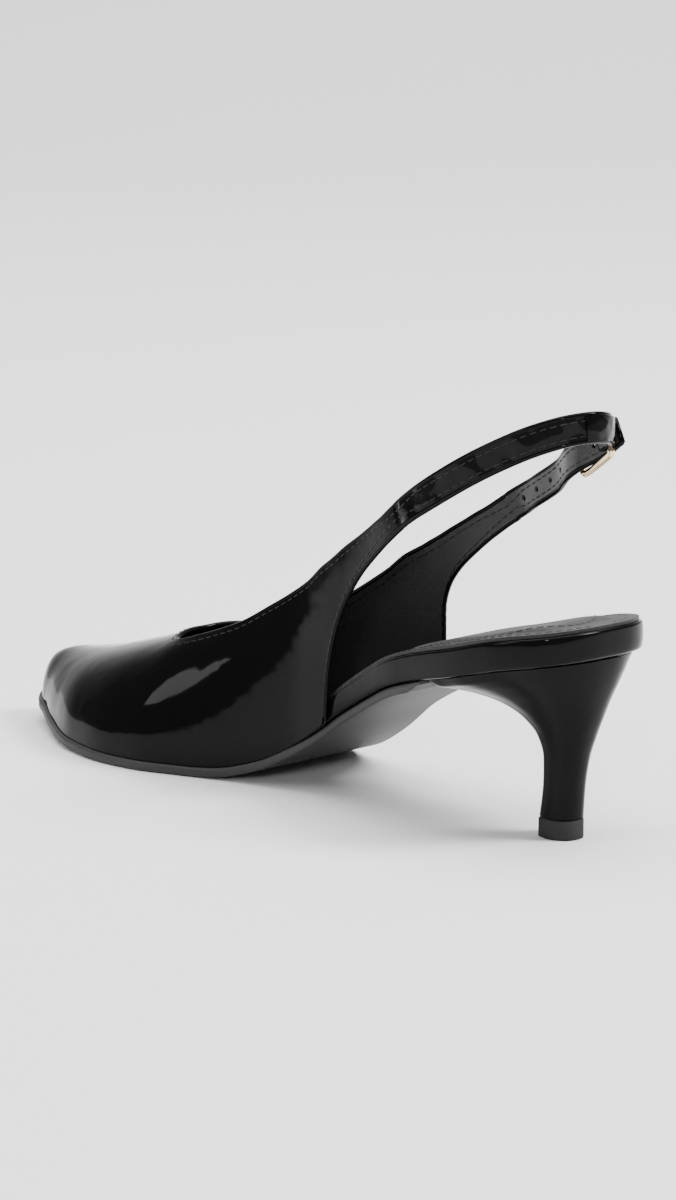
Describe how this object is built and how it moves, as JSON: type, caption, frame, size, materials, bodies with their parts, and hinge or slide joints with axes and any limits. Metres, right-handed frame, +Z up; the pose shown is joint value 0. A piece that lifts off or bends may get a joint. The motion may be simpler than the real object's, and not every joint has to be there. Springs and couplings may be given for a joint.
{
  "type": "slingback pump",
  "caption": "Pointed slingback pump on a slim kitten heel, with a wrapped footbed, wide-cut quarters, narrow sling strap and a small rectangular buckle.",
  "frame": {"origin": "middle of the heel tip's flat bottom, on the floor", "axes": "+X from heel to toe, +Y to the medial side, +Z up"},
  "size_m": [0.2461, 0.0763, 0.1236],
  "materials": {
    "patent": "black patent leather, mirror gloss",
    "lining": "fine-grained matte black leather",
    "sole_leather": "smooth black sole, satin gloss",
    "tip_rubber": "matte black",
    "gold": "polished pale gold plate"
  },
  "bodies": {
    "root": {"outsole": "sole_leather", "footbed": "patent", "sock_lining": "lining", "heel": "patent", "top_piece": "tip_rubber", "upper": "patent", "sling_strap": "patent", "buckle_strap": "patent", "buckle_frame": "gold", "buckle_prong": "gold"}
  },
  "joints": []
}
